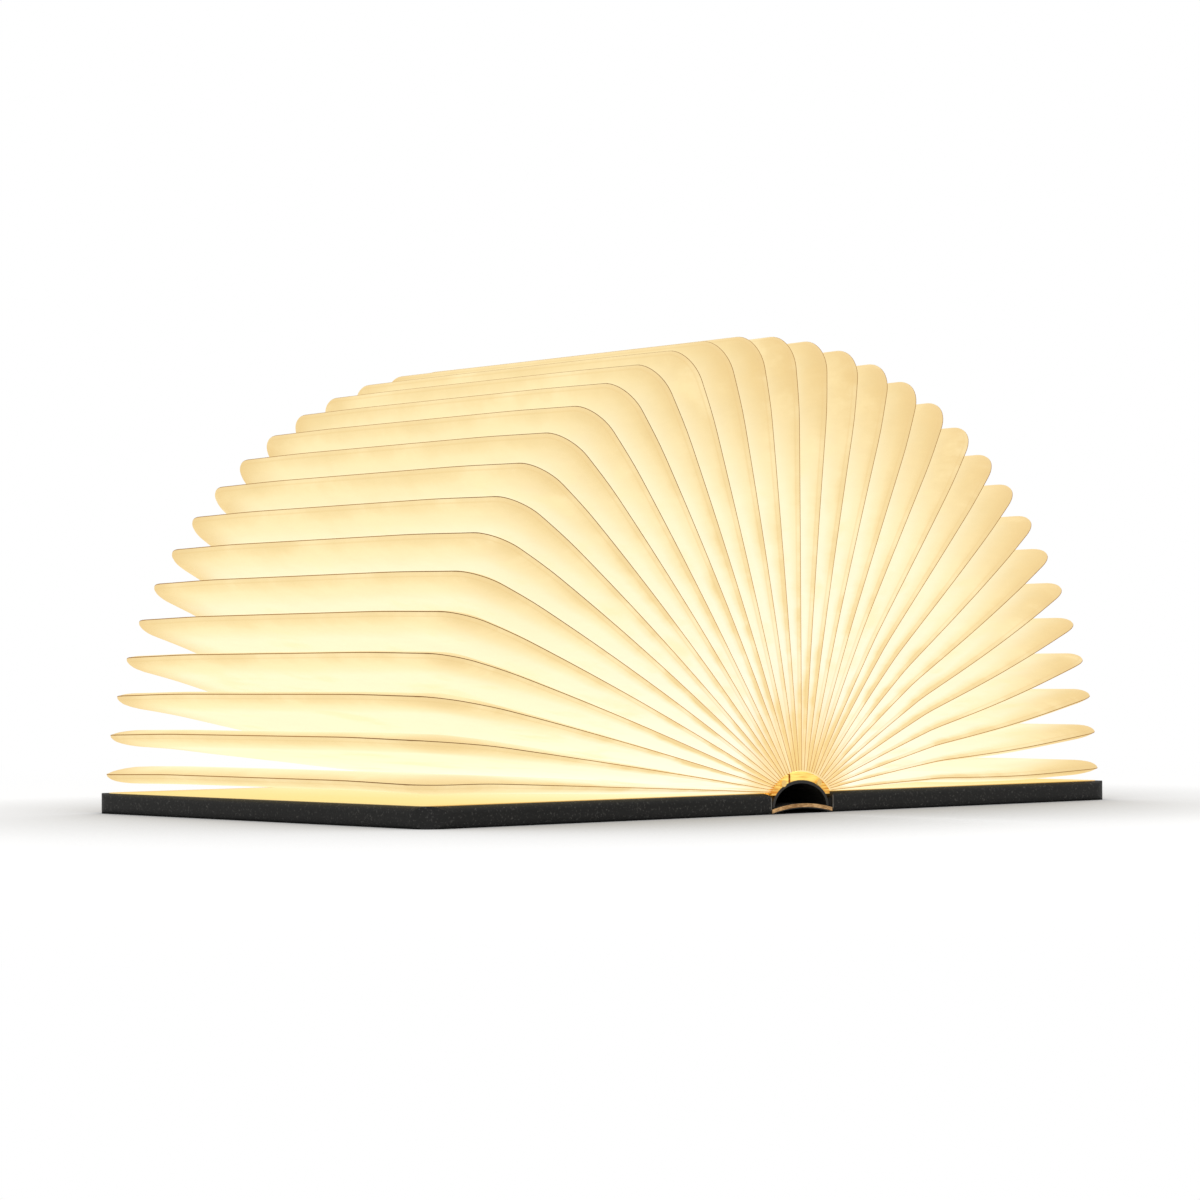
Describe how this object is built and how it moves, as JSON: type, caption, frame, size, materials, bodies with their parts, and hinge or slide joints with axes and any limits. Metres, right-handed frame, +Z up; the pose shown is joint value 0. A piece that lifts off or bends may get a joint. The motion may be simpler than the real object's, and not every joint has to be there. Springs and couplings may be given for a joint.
{
  "type": "folding book lamp",
  "caption": "Book-shaped lamp: two hard covers open flat on the table while paper pockets fan out in a half circle round a lit spine.",
  "frame": {"origin": "under the middle of the spine, on the surface the open covers lie on", "axes": "+X across the open book towards the right cover, +Y along the spine towards its charging end, +Z up"},
  "size_m": [0.3736, 0.214, 0.1865],
  "materials": {
    "black_wrap": "fine-grained leatherette",
    "grey_board": "pressed board",
    "page_paper": "fibrous, lit from within",
    "magnet": "plated",
    "spine_strip": "matt",
    "tan_board": "cut fibre edge",
    "spine_cloth": "fine cloth",
    "light_bar": "translucent, lit",
    "gold_cap": "gold, glossy",
    "screw": "turned",
    "diode_board": "flexible board",
    "diode": "phosphor",
    "tray": "moulded",
    "battery": "foil pouch",
    "control_board": "solder mask",
    "switch": "moulded",
    "socket": "stamped"
  },
  "bodies": {
    "spine": {"inner_spine_strip": "spine_strip", "outer_spine_board": "tan_board", "outer_spine_cloth": "spine_cloth", "light_bar": "light_bar", "front_cap": "gold_cap", "rear_cap": "gold_cap", "cap_screws": "screw", "diode_board": "diode_board", "diodes": "diode", "battery_tray": "tray", "battery": "battery", "control_board": "control_board", "fold_switch": "switch", "charging_socket": "socket", "page_17": "page_paper"},
    "left_cover": {"left_cover_wrap": "black_wrap", "left_cover_board": "grey_board", "left_end_sheet": "page_paper", "left_magnets": "magnet"},
    "right_cover": {"right_cover_wrap": "black_wrap", "right_cover_board": "grey_board", "right_end_sheet": "page_paper", "right_magnets": "magnet"},
    "page_01": {"page_01": "page_paper"},
    "page_02": {"page_02": "page_paper"},
    "page_03": {"page_03": "page_paper"},
    "page_04": {"page_04": "page_paper"},
    "page_05": {"page_05": "page_paper"},
    "page_06": {"page_06": "page_paper"},
    "page_07": {"page_07": "page_paper"},
    "page_08": {"page_08": "page_paper"},
    "page_09": {"page_09": "page_paper"},
    "page_10": {"page_10": "page_paper"},
    "page_11": {"page_11": "page_paper"},
    "page_12": {"page_12": "page_paper"},
    "page_13": {"page_13": "page_paper"},
    "page_14": {"page_14": "page_paper"},
    "page_15": {"page_15": "page_paper"},
    "page_16": {"page_16": "page_paper"},
    "page_18": {"page_18": "page_paper"},
    "page_19": {"page_19": "page_paper"},
    "page_20": {"page_20": "page_paper"},
    "page_21": {"page_21": "page_paper"},
    "page_22": {"page_22": "page_paper"},
    "page_23": {"page_23": "page_paper"},
    "page_24": {"page_24": "page_paper"},
    "page_25": {"page_25": "page_paper"},
    "page_26": {"page_26": "page_paper"},
    "page_27": {"page_27": "page_paper"},
    "page_28": {"page_28": "page_paper"},
    "page_29": {"page_29": "page_paper"},
    "page_30": {"page_30": "page_paper"},
    "page_31": {"page_31": "page_paper"},
    "page_32": {"page_32": "page_paper"},
    "page_33": {"page_33": "page_paper"}
  },
  "joints": [
    {"name": "cover_fold", "type": "hinge", "parent": "spine", "child": "left_cover", "pos_m": [-0.00847, 0, 0.0082], "axis": [0, 1, 0], "range_deg": [0, 90]},
    {"name": "right_cover_fold", "type": "hinge", "parent": "spine", "child": "right_cover", "pos_m": [0.00847, 0, 0.0082], "axis": [0, 1, 0], "range_deg": [-90, 0]},
    {"name": "page_01_turn", "type": "hinge", "parent": "spine", "child": "page_01", "pos_m": [-0.008, 0, 0.0082], "axis": [0, 1, 0], "range_deg": [0, 87.37]},
    {"name": "page_02_turn", "type": "hinge", "parent": "spine", "child": "page_02", "pos_m": [-0.0075, 0, 0.0082], "axis": [0, 1, 0], "range_deg": [0, 82.31]},
    {"name": "page_03_turn", "type": "hinge", "parent": "spine", "child": "page_03", "pos_m": [-0.007, 0, 0.0082], "axis": [0, 1, 0], "range_deg": [0, 77.23]},
    {"name": "page_04_turn", "type": "hinge", "parent": "spine", "child": "page_04", "pos_m": [-0.0065, 0, 0.0082], "axis": [0, 1, 0], "range_deg": [0, 72.12]},
    {"name": "page_05_turn", "type": "hinge", "parent": "spine", "child": "page_05", "pos_m": [-0.006, 0, 0.0082], "axis": [0, 1, 0], "range_deg": [0, 66.97]},
    {"name": "page_06_turn", "type": "hinge", "parent": "spine", "child": "page_06", "pos_m": [-0.0055, 0, 0.0082], "axis": [0, 1, 0], "range_deg": [0, 61.76]},
    {"name": "page_07_turn", "type": "hinge", "parent": "spine", "child": "page_07", "pos_m": [-0.005, 0, 0.0082], "axis": [0, 1, 0], "range_deg": [0, 56.49]},
    {"name": "page_08_turn", "type": "hinge", "parent": "spine", "child": "page_08", "pos_m": [-0.0045, 0, 0.0082], "axis": [0, 1, 0], "range_deg": [0, 51.15]},
    {"name": "page_09_turn", "type": "hinge", "parent": "spine", "child": "page_09", "pos_m": [-0.004, 0, 0.0082], "axis": [0, 1, 0], "range_deg": [0, 45.73]},
    {"name": "page_10_turn", "type": "hinge", "parent": "spine", "child": "page_10", "pos_m": [-0.0035, 0, 0.0082], "axis": [0, 1, 0], "range_deg": [0, 40.24]},
    {"name": "page_11_turn", "type": "hinge", "parent": "spine", "child": "page_11", "pos_m": [-0.003, 0, 0.0082], "axis": [0, 1, 0], "range_deg": [0, 34.67]},
    {"name": "page_12_turn", "type": "hinge", "parent": "spine", "child": "page_12", "pos_m": [-0.0025, 0, 0.0082], "axis": [0, 1, 0], "range_deg": [0, 29.03]},
    {"name": "page_13_turn", "type": "hinge", "parent": "spine", "child": "page_13", "pos_m": [-0.002, 0, 0.0082], "axis": [0, 1, 0], "range_deg": [0, 23.33]},
    {"name": "page_14_turn", "type": "hinge", "parent": "spine", "child": "page_14", "pos_m": [-0.0015, 0, 0.0082], "axis": [0, 1, 0], "range_deg": [0, 17.57]},
    {"name": "page_15_turn", "type": "hinge", "parent": "spine", "child": "page_15", "pos_m": [-0.001, 0, 0.0082], "axis": [0, 1, 0], "range_deg": [0, 11.77]},
    {"name": "page_16_turn", "type": "hinge", "parent": "spine", "child": "page_16", "pos_m": [-0.0005, 0, 0.0082], "axis": [0, 1, 0], "range_deg": [0, 5.94]},
    {"name": "page_18_turn", "type": "hinge", "parent": "spine", "child": "page_18", "pos_m": [0.0005, 0, 0.0082], "axis": [0, 1, 0], "range_deg": [-5.94, 0]},
    {"name": "page_19_turn", "type": "hinge", "parent": "spine", "child": "page_19", "pos_m": [0.001, 0, 0.0082], "axis": [0, 1, 0], "range_deg": [-11.77, 0]},
    {"name": "page_20_turn", "type": "hinge", "parent": "spine", "child": "page_20", "pos_m": [0.0015, 0, 0.0082], "axis": [0, 1, 0], "range_deg": [-17.57, 0]},
    {"name": "page_21_turn", "type": "hinge", "parent": "spine", "child": "page_21", "pos_m": [0.002, 0, 0.0082], "axis": [0, 1, 0], "range_deg": [-23.33, 0]},
    {"name": "page_22_turn", "type": "hinge", "parent": "spine", "child": "page_22", "pos_m": [0.0025, 0, 0.0082], "axis": [0, 1, 0], "range_deg": [-29.03, 0]},
    {"name": "page_23_turn", "type": "hinge", "parent": "spine", "child": "page_23", "pos_m": [0.003, 0, 0.0082], "axis": [0, 1, 0], "range_deg": [-34.67, 0]},
    {"name": "page_24_turn", "type": "hinge", "parent": "spine", "child": "page_24", "pos_m": [0.0035, 0, 0.0082], "axis": [0, 1, 0], "range_deg": [-40.24, 0]},
    {"name": "page_25_turn", "type": "hinge", "parent": "spine", "child": "page_25", "pos_m": [0.004, 0, 0.0082], "axis": [0, 1, 0], "range_deg": [-45.73, 0]},
    {"name": "page_26_turn", "type": "hinge", "parent": "spine", "child": "page_26", "pos_m": [0.0045, 0, 0.0082], "axis": [0, 1, 0], "range_deg": [-51.15, 0]},
    {"name": "page_27_turn", "type": "hinge", "parent": "spine", "child": "page_27", "pos_m": [0.005, 0, 0.0082], "axis": [0, 1, 0], "range_deg": [-56.49, 0]},
    {"name": "page_28_turn", "type": "hinge", "parent": "spine", "child": "page_28", "pos_m": [0.0055, 0, 0.0082], "axis": [0, 1, 0], "range_deg": [-61.76, 0]},
    {"name": "page_29_turn", "type": "hinge", "parent": "spine", "child": "page_29", "pos_m": [0.006, 0, 0.0082], "axis": [0, 1, 0], "range_deg": [-66.97, 0]},
    {"name": "page_30_turn", "type": "hinge", "parent": "spine", "child": "page_30", "pos_m": [0.0065, 0, 0.0082], "axis": [0, 1, 0], "range_deg": [-72.12, 0]},
    {"name": "page_31_turn", "type": "hinge", "parent": "spine", "child": "page_31", "pos_m": [0.007, 0, 0.0082], "axis": [0, 1, 0], "range_deg": [-77.23, 0]},
    {"name": "page_32_turn", "type": "hinge", "parent": "spine", "child": "page_32", "pos_m": [0.0075, 0, 0.0082], "axis": [0, 1, 0], "range_deg": [-82.31, 0]},
    {"name": "page_33_turn", "type": "hinge", "parent": "spine", "child": "page_33", "pos_m": [0.008, 0, 0.0082], "axis": [0, 1, 0], "range_deg": [-87.37, 0]}
  ],
  "couplings": [
    {"joint": "right_cover_fold", "follows": "cover_fold", "ratio": -1},
    {"joint": "page_01_turn", "follows": "cover_fold", "ratio": 0.96967},
    {"joint": "page_02_turn", "follows": "cover_fold", "ratio": 0.9134},
    {"joint": "page_03_turn", "follows": "cover_fold", "ratio": 0.85696},
    {"joint": "page_04_turn", "follows": "cover_fold", "ratio": 0.8002},
    {"joint": "page_05_turn", "follows": "cover_fold", "ratio": 0.74296},
    {"joint": "page_06_turn", "follows": "cover_fold", "ratio": 0.68512},
    {"joint": "page_07_turn", "follows": "cover_fold", "ratio": 0.62657},
    {"joint": "page_08_turn", "follows": "cover_fold", "ratio": 0.56723},
    {"joint": "page_09_turn", "follows": "cover_fold", "ratio": 0.50706},
    {"joint": "page_10_turn", "follows": "cover_fold", "ratio": 0.44602},
    {"joint": "page_11_turn", "follows": "cover_fold", "ratio": 0.38416},
    {"joint": "page_12_turn", "follows": "cover_fold", "ratio": 0.3215},
    {"joint": "page_13_turn", "follows": "cover_fold", "ratio": 0.25813},
    {"joint": "page_14_turn", "follows": "cover_fold", "ratio": 0.19416},
    {"joint": "page_15_turn", "follows": "cover_fold", "ratio": 0.12971},
    {"joint": "page_16_turn", "follows": "cover_fold", "ratio": 0.064939},
    {"joint": "page_18_turn", "follows": "cover_fold", "ratio": -0.064939},
    {"joint": "page_19_turn", "follows": "cover_fold", "ratio": -0.12971},
    {"joint": "page_20_turn", "follows": "cover_fold", "ratio": -0.19416},
    {"joint": "page_21_turn", "follows": "cover_fold", "ratio": -0.25813},
    {"joint": "page_22_turn", "follows": "cover_fold", "ratio": -0.3215},
    {"joint": "page_23_turn", "follows": "cover_fold", "ratio": -0.38416},
    {"joint": "page_24_turn", "follows": "cover_fold", "ratio": -0.44602},
    {"joint": "page_25_turn", "follows": "cover_fold", "ratio": -0.50706},
    {"joint": "page_26_turn", "follows": "cover_fold", "ratio": -0.56723},
    {"joint": "page_27_turn", "follows": "cover_fold", "ratio": -0.62657},
    {"joint": "page_28_turn", "follows": "cover_fold", "ratio": -0.68512},
    {"joint": "page_29_turn", "follows": "cover_fold", "ratio": -0.74296},
    {"joint": "page_30_turn", "follows": "cover_fold", "ratio": -0.8002},
    {"joint": "page_31_turn", "follows": "cover_fold", "ratio": -0.85696},
    {"joint": "page_32_turn", "follows": "cover_fold", "ratio": -0.9134},
    {"joint": "page_33_turn", "follows": "cover_fold", "ratio": -0.96967}
  ]
}
